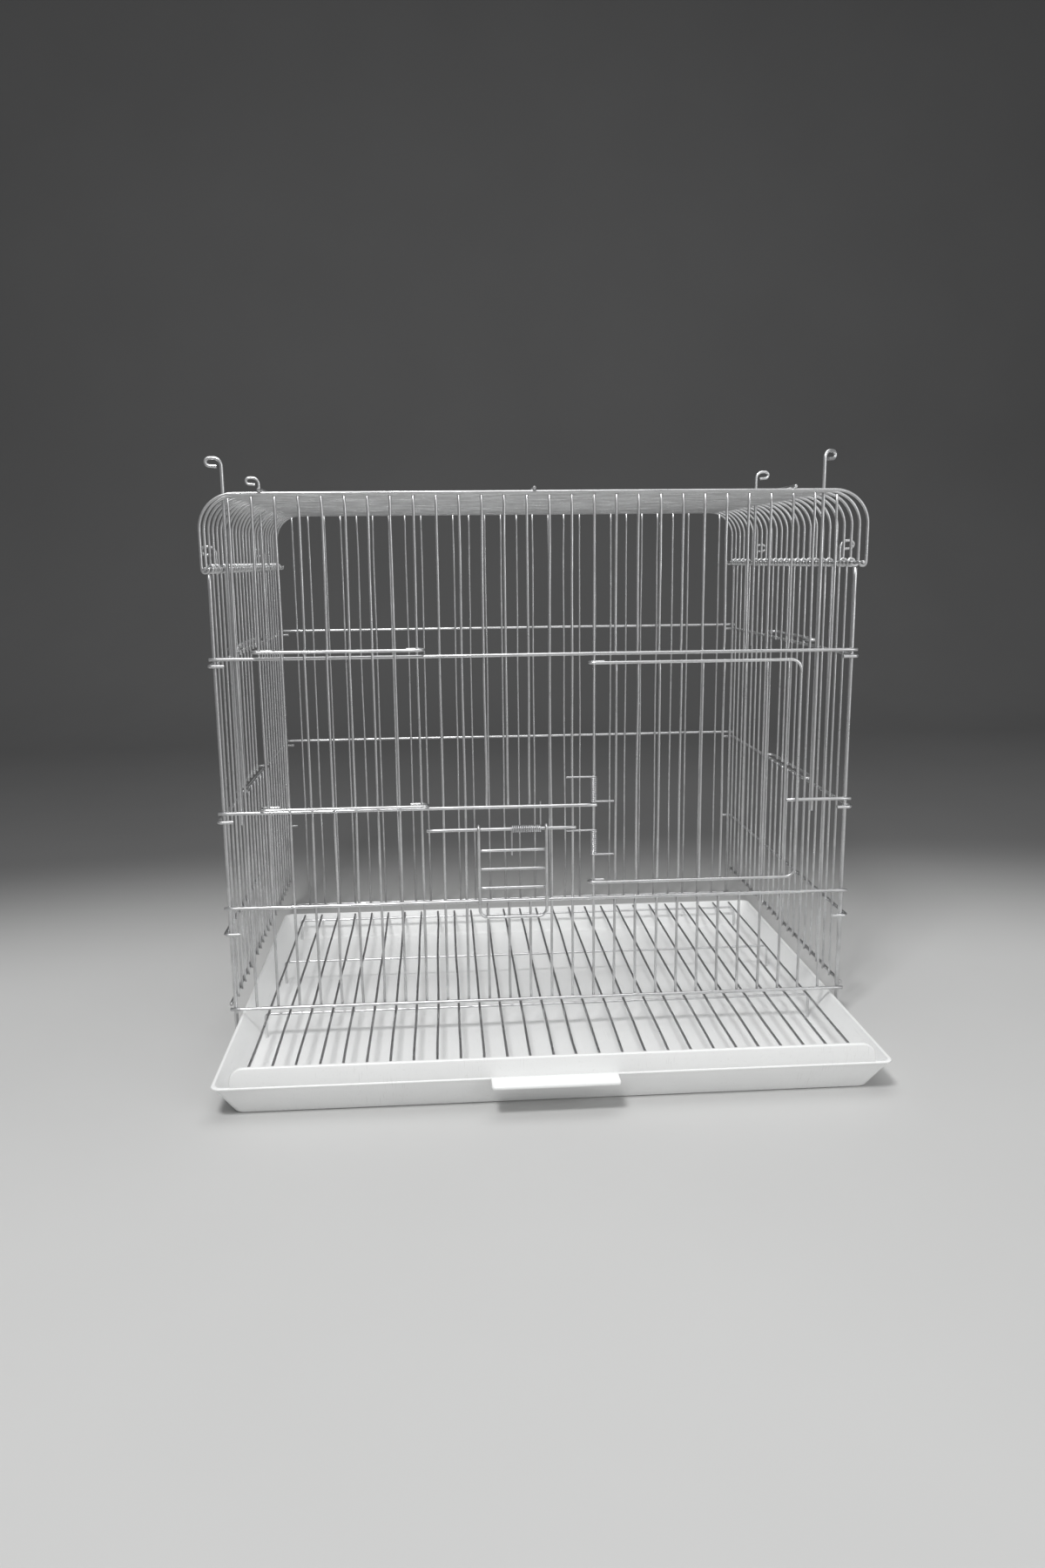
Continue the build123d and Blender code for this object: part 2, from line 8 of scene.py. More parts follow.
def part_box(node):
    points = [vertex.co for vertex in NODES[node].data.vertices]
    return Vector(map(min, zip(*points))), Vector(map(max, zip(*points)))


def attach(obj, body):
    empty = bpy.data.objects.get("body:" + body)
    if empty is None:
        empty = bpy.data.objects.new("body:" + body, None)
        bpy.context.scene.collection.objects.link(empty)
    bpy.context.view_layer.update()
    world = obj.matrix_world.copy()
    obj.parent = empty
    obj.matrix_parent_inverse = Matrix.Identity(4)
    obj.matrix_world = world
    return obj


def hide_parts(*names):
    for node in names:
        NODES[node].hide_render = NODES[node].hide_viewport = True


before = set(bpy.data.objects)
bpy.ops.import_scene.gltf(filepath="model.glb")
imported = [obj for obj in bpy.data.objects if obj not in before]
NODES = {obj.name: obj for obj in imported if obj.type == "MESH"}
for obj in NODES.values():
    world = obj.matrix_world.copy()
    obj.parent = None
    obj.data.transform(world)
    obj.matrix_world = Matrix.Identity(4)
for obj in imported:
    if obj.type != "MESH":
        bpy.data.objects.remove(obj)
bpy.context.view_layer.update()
MM = 0.001

# Wire diameters in metres, as the cage is made.
UPRIGHT = 2.5 * MM
ROOF_WIRE = 2.8 * MM
BAR = 3.2 * MM
POST = 3.8 * MM
SLAT = 2.4 * MM
RUNG = 2.7 * MM
GRID = 2.5 * MM

PITCH = 20 * MM
POINT_STEP = 10 * MM        # spacing of the points along a straight wire
CUT_CHAMFER = 0.35 * MM     # the shears leave this much of a burr-free edge at each wire end
CUT_THICKNESS = 0.72        # share of the diameter left at the very end
BEAD_WIDE = 1.35 * MM       # half the size of a weld bead across the joint
BEAD_DEEP = 0.9 * MM        # and through it
BEAD_SMALLEST = 0.82        # beads differ in size between these shares
BEAD_LARGEST = 1.15
WIRE_SIDES = 10
NOISE_SPREAD = 50.0         # keeps each wire's wander unlike its neighbours'
NOISE_GAIN = 4.0            # stretches noise about its middle to the full -1 to 1
ENDS_HELD = 0.12            # share of a wire's length at each end that is held straight
SIDE_CORNERS = 4            # a wire's side faces have four corners, its end caps more


# ---- shader groups -------------------------------------------------------------------------
def shader_group(name, inputs, outputs):
    """An empty shader node group with named sockets: its tree, its input node, its output node."""
    tree = bpy.data.node_groups.new(name, "ShaderNodeTree")
    for socket, kind, value in inputs:
        made = tree.interface.new_socket(socket, in_out="INPUT", socket_type=kind)
        if value is not None:
            made.default_value = value
    for socket, kind in outputs:
        tree.interface.new_socket(socket, in_out="OUTPUT", socket_type=kind)
    return tree, tree.nodes.new("NodeGroupInput"), tree.nodes.new("NodeGroupOutput")


def math_node(tree, operation, first, second=None, third=None, clamp=False):
    node = tree.nodes.new("ShaderNodeMath")
    node.operation = operation
    node.use_clamp = clamp
    for socket, value in zip(node.inputs, (first, second, third)):
        if value is None:
            continue
        if isinstance(value, (int, float)):
            socket.default_value = value
        else:
            tree.links.new(value, socket)
    return node.outputs[0]


def noise_node(tree, vector, scale, detail=3.0, roughness=0.5):
    node = tree.nodes.new("ShaderNodeTexNoise")
    tree.links.new(vector, node.inputs["Vector"])
    if isinstance(scale, (int, float)):
        node.inputs["Scale"].default_value = scale
    else:
        tree.links.new(scale, node.inputs["Scale"])
    node.inputs["Detail"].default_value = detail
    node.inputs["Roughness"].default_value = roughness
    return node.outputs["Fac"]


def ramp(tree, value, low, high):
    """0 below low, 1 above high, smooth between."""
    node = tree.nodes.new("ShaderNodeMapRange")
    node.interpolation_type = "SMOOTHSTEP"
    tree.links.new(value, node.inputs["Value"])
    node.inputs["From Min"].default_value = low
    node.inputs["From Max"].default_value = high
    return node.outputs["Result"]


def mix_colours(tree, factor, first, second):
    node = tree.nodes.new("ShaderNodeMix")
    node.data_type = "RGBA"
    for socket, value in ((node.inputs[0], factor), (node.inputs[6], first), (node.inputs[7], second)):
        if isinstance(value, (int, float, tuple)):
            socket.default_value = value
        else:
            tree.links.new(value, socket)
    return node.outputs[2]


def make_mottle_group():
    """Cloudy patches and fine specks, for dust, tarnish and uneven plating."""
    tree, start, end = shader_group(
        "mottle",
        [
            ("Vector", "NodeSocketVector", None),
            ("Patch Scale", "NodeSocketFloat", 60.0),
            ("Speck Scale", "NodeSocketFloat", 900.0),
        ],
        [("Patches", "NodeSocketFloat"), ("Specks", "NodeSocketFloat")],
    )
    patches = noise_node(tree, start.outputs["Vector"], start.outputs["Patch Scale"], 4.0, 0.55)
    specks = noise_node(tree, start.outputs["Vector"], start.outputs["Speck Scale"], 2.0, 0.6)
    tree.links.new(ramp(tree, patches, 0.35, 0.68), end.inputs["Patches"])
    tree.links.new(ramp(tree, specks, 0.6, 0.76), end.inputs["Specks"])
    return tree


def make_drawn_grain_group():
    """Long fine lines that run along one axis, as the drawing die leaves them on wire."""
    tree, start, end = shader_group(
        "drawn_grain",
        [("Vector", "NodeSocketVector", None), ("Stretch", "NodeSocketVector", (1.0, 1.0, 1.0))],
        [("Lines", "NodeSocketFloat")],
    )
    product = tree.nodes.new("ShaderNodeVectorMath")
    product.operation = "MULTIPLY"
    tree.links.new(start.outputs["Vector"], product.inputs[0])
    tree.links.new(start.outputs["Stretch"], product.inputs[1])
    lines = noise_node(tree, product.outputs["Vector"], 1.0, 2.0, 0.6)
    tree.links.new(ramp(tree, lines, 0.3, 0.7), end.inputs["Lines"])
    return tree


def make_scuff_group():
    """Short crossing scratches, sparse, for plastic that wire and litter rub on."""
    tree, start, end = shader_group(
        "scuffs",
        [("Vector", "NodeSocketVector", None), ("Amount", "NodeSocketFloat", 0.5)],
        [("Scratches", "NodeSocketFloat")],
    )
    total = None
    for angle, length in ((0.5, 18.0), (-0.9, 26.0), (1.9, 14.0)):
        mapping = tree.nodes.new("ShaderNodeMapping")
        mapping.inputs["Rotation"].default_value = (0.0, 0.0, angle)
        mapping.inputs["Scale"].default_value = (1400.0, length, 60.0)
        tree.links.new(start.outputs["Vector"], mapping.inputs["Vector"])
        lines = noise_node(tree, mapping.outputs["Vector"], 1.0, 1.0, 0.4)
        line = ramp(tree, lines, 0.7, 0.78)
        total = line if total is None else math_node(tree, "ADD", total, line, clamp=True)
    breakup = ramp(tree, noise_node(tree, start.outputs["Vector"], 22.0, 3.0), 0.5, 0.7)
    worn = math_node(tree, "MULTIPLY", total, breakup)
    tree.links.new(math_node(tree, "MULTIPLY", worn, start.outputs["Amount"]), end.inputs["Scratches"])
    return tree


MOTTLE = make_mottle_group()
DRAWN_GRAIN = make_drawn_grain_group()
SCUFFS = make_scuff_group()


# ---- materials -----------------------------------------------------------------------------
def new_material(name):
    material = bpy.data.materials.new(name)
    material.use_nodes = True
    tree = material.node_tree
    shader = tree.nodes["Principled BSDF"]
    place = tree.nodes.new("ShaderNodeTexCoord").outputs["Object"]
    return material, tree, shader, place


def group_node(tree, group, **links):
    node = tree.nodes.new("ShaderNodeGroup")
    node.node_tree = group
    for name, value in links.items():
        socket = node.inputs[name.replace("_", " ")]
        if isinstance(value, (int, float, tuple)):
            socket.default_value = value
        else:
            tree.links.new(value, socket)
    return node


def bump(tree, shader, height, strength, distance):
    node = tree.nodes.new("ShaderNodeBump")
    node.inputs["Strength"].default_value = strength
    node.inputs["Distance"].default_value = distance
    tree.links.new(height, node.inputs["Height"])
    tree.links.new(node.outputs["Normal"], shader.inputs["Normal"])


def zinc_wire(name, stretch, bright=(0.82, 0.825, 0.83, 1), dull=(0.60, 0.60, 0.605, 1)):
    """Bright zinc plating over drawn wire: long die lines, dull clouds and a few dark specks."""
    material, tree, shader, place = new_material(name)
    mottle = group_node(tree, MOTTLE, Vector=place, Patch_Scale=38.0, Speck_Scale=1100.0)
    grain = group_node(tree, DRAWN_GRAIN, Vector=place, Stretch=stretch)
    tone = tree.nodes.new("ShaderNodeAttribute")
    tone.attribute_name = "wire_tone"
    cloudy = mix_colours(tree, mottle.outputs["Patches"], bright, dull)
    lined_factor = math_node(tree, "MULTIPLY", grain.outputs["Lines"], 0.3)
    lined = mix_colours(tree, lined_factor, cloudy, (0.50, 0.50, 0.50, 1))
    speck_factor = math_node(tree, "MULTIPLY", mottle.outputs["Specks"], 0.5)
    specked = mix_colours(tree, speck_factor, lined, (0.24, 0.23, 0.22, 1))
    tone_factor = math_node(tree, "MULTIPLY", tone.outputs["Fac"], 0.35)
    toned = mix_colours(tree, tone_factor, specked, (0.50, 0.50, 0.505, 1))
    tree.links.new(toned, shader.inputs["Base Color"])
    rough = math_node(tree, "MULTIPLY_ADD", mottle.outputs["Patches"], 0.16, 0.24)
    rougher = math_node(tree, "MULTIPLY_ADD", grain.outputs["Lines"], 0.08, rough)
    tree.links.new(rougher, shader.inputs["Roughness"])
    shader.inputs["Metallic"].default_value = 1.0
    bump(tree, shader, grain.outputs["Lines"], 0.25, 0.00005)
    return material


ALONG = 30.0      # noise cells per metre along the wire
ACROSS = 2600.0   # and across it
ZINC_X = zinc_wire("zinc_wire_across", (ALONG, ACROSS, ACROSS))
ZINC_Y = zinc_wire("zinc_wire_lengthways", (ACROSS, ALONG, ACROSS))
ZINC_Z = zinc_wire("zinc_wire_upright", (ACROSS, ACROSS, ALONG))
WELD_ZINC = zinc_wire("weld_spot_zinc", (900.0, 900.0, 900.0), (0.78, 0.78, 0.78, 1), (0.48, 0.475, 0.47, 1))
SPRING_STEEL = zinc_wire("spring_wire", (700.0, 700.0, 700.0), (0.76, 0.76, 0.77, 1), (0.52, 0.52, 0.53, 1))


def tray_plastic():
    """White moulded plastic: satin, faintly uneven, a few grey dust specks all over and fine scuffs."""
    material, tree, shader, place = new_material("tray_plastic")
    mottle = group_node(tree, MOTTLE, Vector=place, Patch_Scale=9.0, Speck_Scale=420.0)
    scuffs = group_node(tree, SCUFFS, Vector=place, Amount=0.6)
    base = mix_colours(tree, mottle.outputs["Patches"], (0.90, 0.905, 0.90, 1), (0.87, 0.875, 0.87, 1))
    speck_factor = math_node(tree, "MULTIPLY", mottle.outputs["Specks"], 0.12)
    specked = mix_colours(tree, speck_factor, base, (0.50, 0.48, 0.45, 1))
    scratched = mix_colours(tree, scuffs.outputs["Scratches"], specked, (0.62, 0.62, 0.61, 1))
    tree.links.new(scratched, shader.inputs["Base Color"])
    rough = math_node(tree, "MULTIPLY_ADD", mottle.outputs["Patches"], 0.10, 0.36)
    rougher = math_node(tree, "MULTIPLY_ADD", scuffs.outputs["Scratches"], 0.2, rough)
    tree.links.new(rougher, shader.inputs["Roughness"])
    shader.inputs["IOR"].default_value = 1.49
    shader.inputs["Subsurface Weight"].default_value = 0.08
    shader.inputs["Subsurface Radius"].default_value = (0.004, 0.004, 0.004)
    shader.inputs["Subsurface Scale"].default_value = 1.0
    orange_peel = noise_node(tree, place, 700.0, 2.0)
    height = math_node(tree, "SUBTRACT", orange_peel, scuffs.outputs["Scratches"])
    bump(tree, shader, height, 0.2, 0.00012)
    return material


TRAY_PLASTIC = tray_plastic()


# ---- geometry node trees -------------------------------------------------------------------
def geometry_tree(name, inputs):
    tree = bpy.data.node_groups.new(name, "GeometryNodeTree")
    tree.interface.new_socket("Geometry", in_out="INPUT", socket_type="NodeSocketGeometry")
    for socket, kind, value in inputs:
        made = tree.interface.new_socket(socket, in_out="INPUT", socket_type=kind)
        if value is not None:
            made.default_value = value
    tree.interface.new_socket("Geometry", in_out="OUTPUT", socket_type="NodeSocketGeometry")
    return tree, tree.nodes.new("NodeGroupInput"), tree.nodes.new("NodeGroupOutput")


def finish_tree(tree, end, geometry, material):
    """Every tree ends in plain geometry with its material set."""
    realize = tree.nodes.new("GeometryNodeRealizeInstances")
    tree.links.new(geometry, realize.inputs["Geometry"])
    paint = tree.nodes.new("GeometryNodeSetMaterial")
    tree.links.new(realize.outputs["Geometry"], paint.inputs["Geometry"])
    tree.links.new(material, paint.inputs["Material"])
    tree.links.new(paint.outputs["Geometry"], end.inputs["Geometry"])


def make_wire_tree():
    """Turns paths into round wires that wander a little sideways, as hand-straightened wire does."""
    tree, start, end = geometry_tree(
        "drawn_wires",
        [
            ("Copies", "NodeSocketInt", 1),
            ("Step", "NodeSocketVector", (0.0, 0.0, 0.0)),
            ("Diameter", "NodeSocketFloat", 0.0025),
            ("Sides", "NodeSocketInt", WIRE_SIDES),
            ("Wander", "NodeSocketFloat", 0.0004),
            ("Wander Direction", "NodeSocketVector", (1.0, 0.0, 0.0)),
            ("Waves per Metre", "NodeSocketFloat", 5.0),
            ("Seed", "NodeSocketInt", 0),
            ("Material", "NodeSocketMaterial", None),
        ],
    )
    new = tree.nodes.new
    link = tree.links.new
    given = start.outputs
    line = new("GeometryNodeMeshLine")
    link(given["Copies"], line.inputs["Count"])
    link(given["Step"], line.inputs["Offset"])
    copies = new("GeometryNodeInstanceOnPoints")
    link(line.outputs["Mesh"], copies.inputs["Points"])
    link(given["Geometry"], copies.inputs["Instance"])
    realized = new("GeometryNodeRealizeInstances")
    link(copies.outputs["Instances"], realized.inputs["Geometry"])
    curve = new("GeometryNodeMeshToCurve")
    link(realized.outputs["Geometry"], curve.inputs["Mesh"])

    which = new("GeometryNodeCurveOfPoint")
    own = new("FunctionNodeRandomValue")
    own.data_type = "FLOAT"
    link(which.outputs["Curve Index"], own.inputs["ID"])
    link(given["Seed"], own.inputs["Seed"])

    place = new("GeometryNodeInputPosition")
    noise = new("ShaderNodeTexNoise")
    noise.noise_dimensions = "4D"
    link(place.outputs["Position"], noise.inputs["Vector"])
    link(given["Waves per Metre"], noise.inputs["Scale"])
    link(math_node(tree, "MULTIPLY", own.outputs[1], NOISE_SPREAD), noise.inputs["W"])
    noise.inputs["Detail"].default_value = 1.0
    centred = math_node(tree, "MULTIPLY_ADD", noise.outputs["Fac"], NOISE_GAIN, -NOISE_GAIN / 2)
    clamp = new("ShaderNodeClamp")
    clamp.inputs["Min"].default_value = -1.0
    clamp.inputs["Max"].default_value = 1.0
    link(centred, clamp.inputs["Value"])
    along = new("GeometryNodeSplineParameter")
    from_end = math_node(tree, "PINGPONG", along.outputs["Factor"], 0.5)
    amount = math_node(tree, "MULTIPLY", clamp.outputs[0], ramp(tree, from_end, 0.0, ENDS_HELD))
    size = math_node(tree, "MULTIPLY", amount, given["Wander"])
    offset = new("ShaderNodeVectorMath")
    offset.operation = "SCALE"
    link(given["Wander Direction"], offset.inputs[0])
    link(size, offset.inputs["Scale"])
    wander = new("GeometryNodeSetPosition")
    link(curve.outputs["Curve"], wander.inputs["Geometry"])
    link(offset.outputs[0], wander.inputs["Offset"])

    thickness = new("GeometryNodeInputNamedAttribute")
    thickness.data_type = "FLOAT"
    thickness.inputs["Name"].default_value = "thickness"
    radius = new("GeometryNodeSetCurveRadius")
    link(wander.outputs["Geometry"], radius.inputs["Curve"])
    link(thickness.outputs["Attribute"], radius.inputs["Radius"])
    tone = new("GeometryNodeStoreNamedAttribute")
    tone.data_type = "FLOAT"
    tone.domain = "POINT"
    tone.inputs["Name"].default_value = "wire_tone"
    link(radius.outputs["Curve"], tone.inputs["Geometry"])
    link(own.outputs[1], tone.inputs["Value"])

    profile = new("GeometryNodeCurvePrimitiveCircle")
    link(given["Sides"], profile.inputs["Resolution"])
    link(math_node(tree, "MULTIPLY", given["Diameter"], 0.5), profile.inputs["Radius"])
    tube = new("GeometryNodeCurveToMesh")
    link(tone.outputs["Geometry"], tube.inputs["Curve"])
    link(profile.outputs["Curve"], tube.inputs["Profile Curve"])
    tube.inputs["Fill Caps"].default_value = True
    if "Scale" in tube.inputs:
        link(thickness.outputs["Attribute"], tube.inputs["Scale"])
    corners = new("GeometryNodeInputMeshFaceNeighbors")
    side_face = new("FunctionNodeCompare")
    side_face.data_type = "INT"
    side_face.operation = "LESS_EQUAL"
    link(corners.outputs["Vertex Count"], side_face.inputs[2])
    side_face.inputs[3].default_value = SIDE_CORNERS
    smooth = new("GeometryNodeSetShadeSmooth")
    link(tube.outputs["Mesh"], smooth.inputs["Geometry"])
    link(side_face.outputs[0], smooth.inputs["Shade Smooth"])
    finish_tree(tree, end, smooth.outputs["Geometry"], given["Material"])
    return tree


def make_bead_tree():
    """Puts a small flattened bead of weld metal on every point, each a little different."""
    tree, start, end = geometry_tree(
        "weld_beads",
        [("Seed", "NodeSocketInt", 0), ("Material", "NodeSocketMaterial", None)],
    )
    new = tree.nodes.new
    link = tree.links.new
    ball = new("GeometryNodeMeshUVSphere")
    ball.inputs["Segments"].default_value = 8
    ball.inputs["Rings"].default_value = 5
    ball.inputs["Radius"].default_value = 1.0
    smooth = new("GeometryNodeSetShadeSmooth")
    link(ball.outputs["Mesh"], smooth.inputs["Geometry"])
    size = new("GeometryNodeInputNamedAttribute")
    size.data_type = "FLOAT_VECTOR"
    size.inputs["Name"].default_value = "bead_size"
    vary = new("FunctionNodeRandomValue")
    vary.data_type = "FLOAT"
    vary.inputs[2].default_value = BEAD_SMALLEST
    vary.inputs[3].default_value = BEAD_LARGEST
    link(start.outputs["Seed"], vary.inputs["Seed"])
    scale = new("ShaderNodeVectorMath")
    scale.operation = "SCALE"
    link(size.outputs["Attribute"], scale.inputs[0])
    link(vary.outputs[1], scale.inputs["Scale"])
    beads = new("GeometryNodeInstanceOnPoints")
    link(start.outputs["Geometry"], beads.inputs["Points"])
    link(smooth.outputs["Geometry"], beads.inputs["Instance"])
    link(scale.outputs[0], beads.inputs["Scale"])
    finish_tree(tree, end, beads.outputs["Instances"], start.outputs["Material"])
    return tree


WIRE_TREE = make_wire_tree()
BEAD_TREE = make_bead_tree()


def grow(name, mesh, tree, **values):
    """Runs a geometry node tree on a mesh and returns the finished plain object."""
    seed_object = bpy.data.objects.new(name + "_seed", mesh)
    bpy.context.scene.collection.objects.link(seed_object)
    modifier = seed_object.modifiers.new("grow", "NODES")
    modifier.node_group = tree
    sockets = {s.name: s.identifier for s in tree.interface.items_tree if s.in_out == "INPUT"}
    for key, value in values.items():
        modifier[sockets[key.replace("_", " ")]] = value
    bpy.context.view_layer.update()
    evaluated = seed_object.evaluated_get(bpy.context.evaluated_depsgraph_get())
    made = bpy.data.meshes.new_from_object(evaluated)
    bpy.data.objects.remove(seed_object)
    made.name = name
    piece = bpy.data.objects.new(name, made)
    bpy.context.scene.collection.objects.link(piece)
    return piece


# ---- wires ---------------------------------------------------------------------------------
def straight_wires(*nodes):
    """Both ends of the centre line of every straight wire in some CAD nodes."""
    found = []
    for node in nodes:
        shape = bmesh.new()
        shape.from_mesh(NODES[node].data)
        bmesh.ops.remove_doubles(shape, verts=shape.verts, dist=1e-6)
        unseen = set(shape.verts)
        while unseen:
            reached = [unseen.pop()]
            low = reached[0].co.copy()
            high = low.copy()
            while reached:
                vertex = reached.pop()
                low = Vector(map(min, low, vertex.co))
                high = Vector(map(max, high, vertex.co))
                for edge in vertex.link_edges:
                    other = edge.other_vert(vertex)
                    if other in unseen:
                        unseen.discard(other)
                        reached.append(other)
            size = high - low
            axis = max(range(3), key=lambda i: size[i])
            start = (low + high) / 2
            finish = start.copy()
            start[axis] = low[axis]
            finish[axis] = high[axis]
            found.append((start, finish))
        shape.free()
    return sorted(found, key=lambda wire: tuple(round(c, 5) for c in (*wire[0], *wire[1])))


def run(start, finish):
    """Points along a straight stretch."""
    steps = max(1, round((finish - start).length / POINT_STEP))
    return [start.lerp(finish, k / steps) for k in range(steps + 1)]


def path_mesh(name, paths):
    """Edges along each path; the thickness attribute narrows the two cut ends."""
    points, edges, thickness = [], [], []
    for path in paths:
        first = len(points)
        lead = (path[1] - path[0]).normalized() * CUT_CHAMFER
        tail = (path[-2] - path[-1]).normalized() * CUT_CHAMFER
        whole = [path[0], path[0] + lead, *path[1:-1], path[-1] + tail, path[-1]]
        points.extend(whole)
        thickness.extend([CUT_THICKNESS] + [1.0] * (len(whole) - 2) + [CUT_THICKNESS])
        edges.extend((first + k, first + k + 1) for k in range(len(whole) - 1))
    mesh = bpy.data.meshes.new(name)
    mesh.from_pydata(points, edges, [])
    mesh.attributes.new("thickness", "FLOAT", "POINT").data.foreach_set("value", thickness)
    return mesh


def wires(name, body, paths, diameter, material, wander, direction, seed, replaced,
          copies=1, step=(0, 0, 0), waves=5.0):
    """One piece made of round wires that stands for some CAD nodes."""
    piece = grow(
        name,
        path_mesh(name, paths),
        WIRE_TREE,
        Copies=copies,
        Step=step,
        Diameter=diameter,
        Wander=wander,
        Wander_Direction=direction,
        Waves_per_Metre=waves,
        Seed=seed,
        Material=material,
    )
    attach(piece, body)
    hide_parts(*replaced)


def straight_row(node, body, diameter, material, wander, direction, seed):
    paths = [run(start, finish) for start, finish in straight_wires(node)]
    wires(node + "_wires", body, paths, diameter, material, wander, direction, seed, [node])


def beads(name, body, first, second, seed):
    """Weld beads wherever a wire of the first set touches one of the second set."""
    reach = BAR
    points, sizes = [], []
    for a0, a1 in first:
        a_axis = max(range(3), key=lambda i: abs(a1[i] - a0[i]))
        for b0, b1 in second:
            b_axis = max(range(3), key=lambda i: abs(b1[i] - b0[i]))
            normal = 3 - a_axis - b_axis
            if a_axis == b_axis or abs(a0[normal] - b0[normal]) > reach:
                continue
            if not a0[a_axis] - reach < b0[a_axis] < a1[a_axis] + reach:
                continue
            if not b0[b_axis] - reach < a0[b_axis] < b1[b_axis] + reach:
                continue
            point = Vector((0, 0, 0))
            point[a_axis] = b0[a_axis]
            point[b_axis] = a0[b_axis]
            point[normal] = (a0[normal] + b0[normal]) / 2
            size = Vector((BEAD_WIDE,) * 3)
            size[normal] = BEAD_DEEP
            points.append(point)
            sizes.extend(size)
    mesh = bpy.data.meshes.new(name)
    mesh.from_pydata(points, [], [])
    mesh.attributes.new("bead_size", "FLOAT_VECTOR", "POINT").data.foreach_set("vector", sizes)
    piece = grow(name, mesh, BEAD_TREE, Seed=seed, Material=WELD_ZINC)
    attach(piece, body)


def arc(centre, radius, start, sweep, steps):
    """Points on an arc in the plane across the cage; angles in degrees from +X towards +Z."""
    made = []
    for k in range(steps + 1):
        angle = math.radians(start + sweep * k / steps)
        made.append(centre + Vector((radius * math.cos(angle), 0, radius * math.sin(angle))))
    return made


def hood_loops():
    """Each roof wire is one piece of wire from curl to curl, over both shoulders."""
    roof_low, roof_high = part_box("roof_wires")
    drop_low, drop_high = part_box("roof_side_drops")
    side_low, side_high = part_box("hood_side_wires")
    half = ROOF_WIRE / 2
    outer_x = drop_high.x - half
    top_z = roof_high.z - half
    shoulder = outer_x - roof_high.x
    first_y = roof_low.y + half
    curl_centre = Vector((side_high.x - BAR / 2, first_y, side_high.z - BAR / 2))
    curl = arc(curl_centre, (ROOF_WIRE + BAR) / 2, -200, 200, 14)
    drop_end = Vector((outer_x, first_y, drop_high.z))
    drop = run(curl[-1], drop_end)
    bend = arc(Vector((roof_high.x, first_y, drop_high.z)), shoulder, 0, 90, 12)
    right = [*curl, *drop[1:], *bend[1:]]
    left = [Vector((-p.x, p.y, p.z)) for p in reversed(right)]
    across = run(right[-1], left[0])
    path = [*right, *across[1:-1], *left]
    copies = round((roof_high.y - roof_low.y - ROOF_WIRE) / PITCH) + 1
    wires(
        "hood_loops", "cage_frame", [path], ROOF_WIRE, ZINC_X, 0.35 * MM, (0, 1, 0), 3,
        ["roof_wires", "roof_shoulder_bends", "roof_side_drops", "roof_wire_curls"],
        copies=copies, step=(0, PITCH, 0), waves=3.0,
    )


FRONT_BARS = (
    "front_bar_top", "front_bar_upper", "front_bar_lower", "front_bar_bottom", "door_stop_bar", "flap_header",
)
BACK_BARS = ("back_bars", "back_foot_bar")
SIDES = ("left", "right")
DOORS = ("front", "left", "right")


def cage_wires():
    straight_row("front_uprights", "cage_frame", UPRIGHT, ZINC_Z, 0.8 * MM, (1, 0, 0), 11)
    straight_row("back_uprights", "cage_frame", UPRIGHT, ZINC_Z, 0.8 * MM, (1, 0, 0), 12)
    for seed, node in enumerate(("front_posts", "back_posts")):
        straight_row(node, "cage_frame", POST, ZINC_Z, 0.3 * MM, (1, 0, 0), 13 + seed)
    for seed, node in enumerate(FRONT_BARS + BACK_BARS):
        straight_row(node, "cage_frame", BAR, ZINC_X, 0.25 * MM, (0, 0, 1), 21 + seed)
    straight_row("roof_stringers", "cage_frame", BAR, ZINC_Y, 0.6 * MM, (1, 0, 0), 31)
    straight_row("hood_side_wires", "cage_frame", BAR, ZINC_Y, 0.0, (0, 0, 1), 32)
    for seed, side in enumerate(SIDES):
        body = f"{side}_panel"
        straight_row(f"{side}_panel_uprights", body, UPRIGHT, ZINC_Z, 0.7 * MM, (0, 1, 0), 41 + seed)
        straight_row(f"{side}_panel_bottom_bar", body, BAR, ZINC_Y, 0.4 * MM, (0, 0, 1), 43 + seed)
    for seed, door in enumerate(DOORS):
        sway = (1, 0, 0) if door == "front" else (0, 1, 0)
        body = f"{door}_slide_door"
        straight_row(f"{body}_slats", body, SLAT, ZINC_Z, 0.4 * MM, sway, 51 + seed)
    straight_row("main_door_slats", "main_door", SLAT, ZINC_Z, 0.7 * MM, (1, 0, 0), 61)
    straight_row("flap_rungs", "ladder_flap", RUNG, ZINC_X, 0.25 * MM, (0, 0, 1), 62)
    straight_row("floor_grid_wires", "floor_grid", GRID, ZINC_Y, 1.0 * MM, (1, 0, 0), 63)


def cage_welds():
    beads("front_welds", "cage_frame", straight_wires("front_uprights"), straight_wires(*FRONT_BARS), 71)
    beads("back_welds", "cage_frame", straight_wires("back_uprights"), straight_wires(*BACK_BARS), 73)
    beads("roof_welds", "cage_frame", straight_wires("roof_wires"), straight_wires("roof_stringers"), 74)


def cad_finishes():
    """The bent wires keep their CAD shape and get the finish that runs along their longest side."""
    by_material = {
        ZINC_X: [f"{door}_slide_door_{end}_wire" for door in DOORS for end in ("top", "bottom")]
        + ["main_door_frame", "floor_grid_cross_wires"],
        ZINC_Y: [f"{side}_panel_hooked_bars" for side in SIDES],
        ZINC_Z: [f"{side}_panel_{part}" for side in SIDES for part in ("hinge_eyes", "pull_eyes")]
        + [f"lock_rod_{place}_{side}" for place in ("front", "side") for side in SIDES]
        + ["flap_frame"],
        SPRING_STEEL: ["door_spring_upper", "door_spring_lower", "flap_spring"],
    }
    for material, names in by_material.items():
        for name in names:
            data = NODES[name].data
            data.materials.clear()
            data.materials.append(material)


